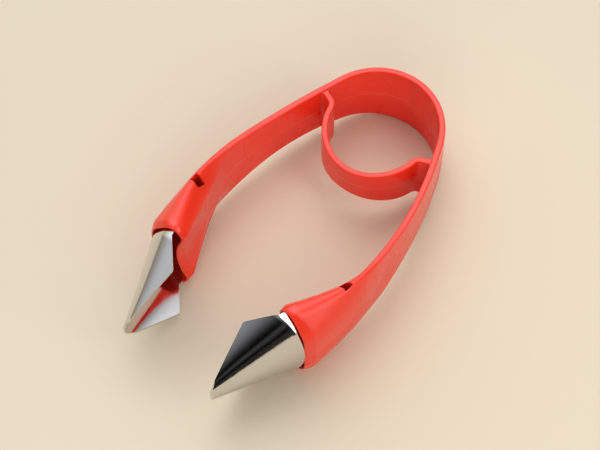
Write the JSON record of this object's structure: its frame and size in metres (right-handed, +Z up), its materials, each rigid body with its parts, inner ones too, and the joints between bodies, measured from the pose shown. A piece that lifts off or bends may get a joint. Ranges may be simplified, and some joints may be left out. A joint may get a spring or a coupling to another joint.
{
  "type": "hulling tongs",
  "caption": "Sprung hulling tongs: a bowed plastic handle with a round inner spring and hollow heads that hold pointed steel scoop blades for lifting out stalks and eyes.",
  "frame": {"origin": "middle of the bounding box in X and Y, at the height of the heads' lower lands", "axes": "+Y from the blade tips to the bend, +X to the right arm when seen from above with the bend away, +Z up"},
  "size_m": [0.0628, 0.115, 0.0317],
  "materials": {
    "handle": "glossy moulded polypropylene",
    "blade": "bright pressed stainless sheet"
  },
  "bodies": {
    "bow": {"bend": "handle", "inner_spring": "handle"},
    "right_side": {"right_arm": "handle", "right_blade": "blade"},
    "left_side": {"left_arm": "handle", "left_blade": "blade"}
  },
  "joints": [
    {"name": "right_flex", "type": "hinge", "parent": "bow", "child": "right_side", "pos_m": [0.01984, 0.04059, 0.01586], "axis": [0, 0, -1], "range_deg": [0, 9.2], "stiffness_Nm_per_rad": 3, "deforming": ["bend", "inner_spring"]},
    {"name": "left_flex", "type": "hinge", "parent": "bow", "child": "left_side", "pos_m": [-0.01984, 0.04059, 0.01586], "axis": [0, 0, 1], "range_deg": [0, 9.2], "stiffness_Nm_per_rad": 3, "deforming": ["bend", "inner_spring"]}
  ],
  "couplings": [
    {"joint": "left_flex", "follows": "right_flex", "ratio": 1}
  ]
}
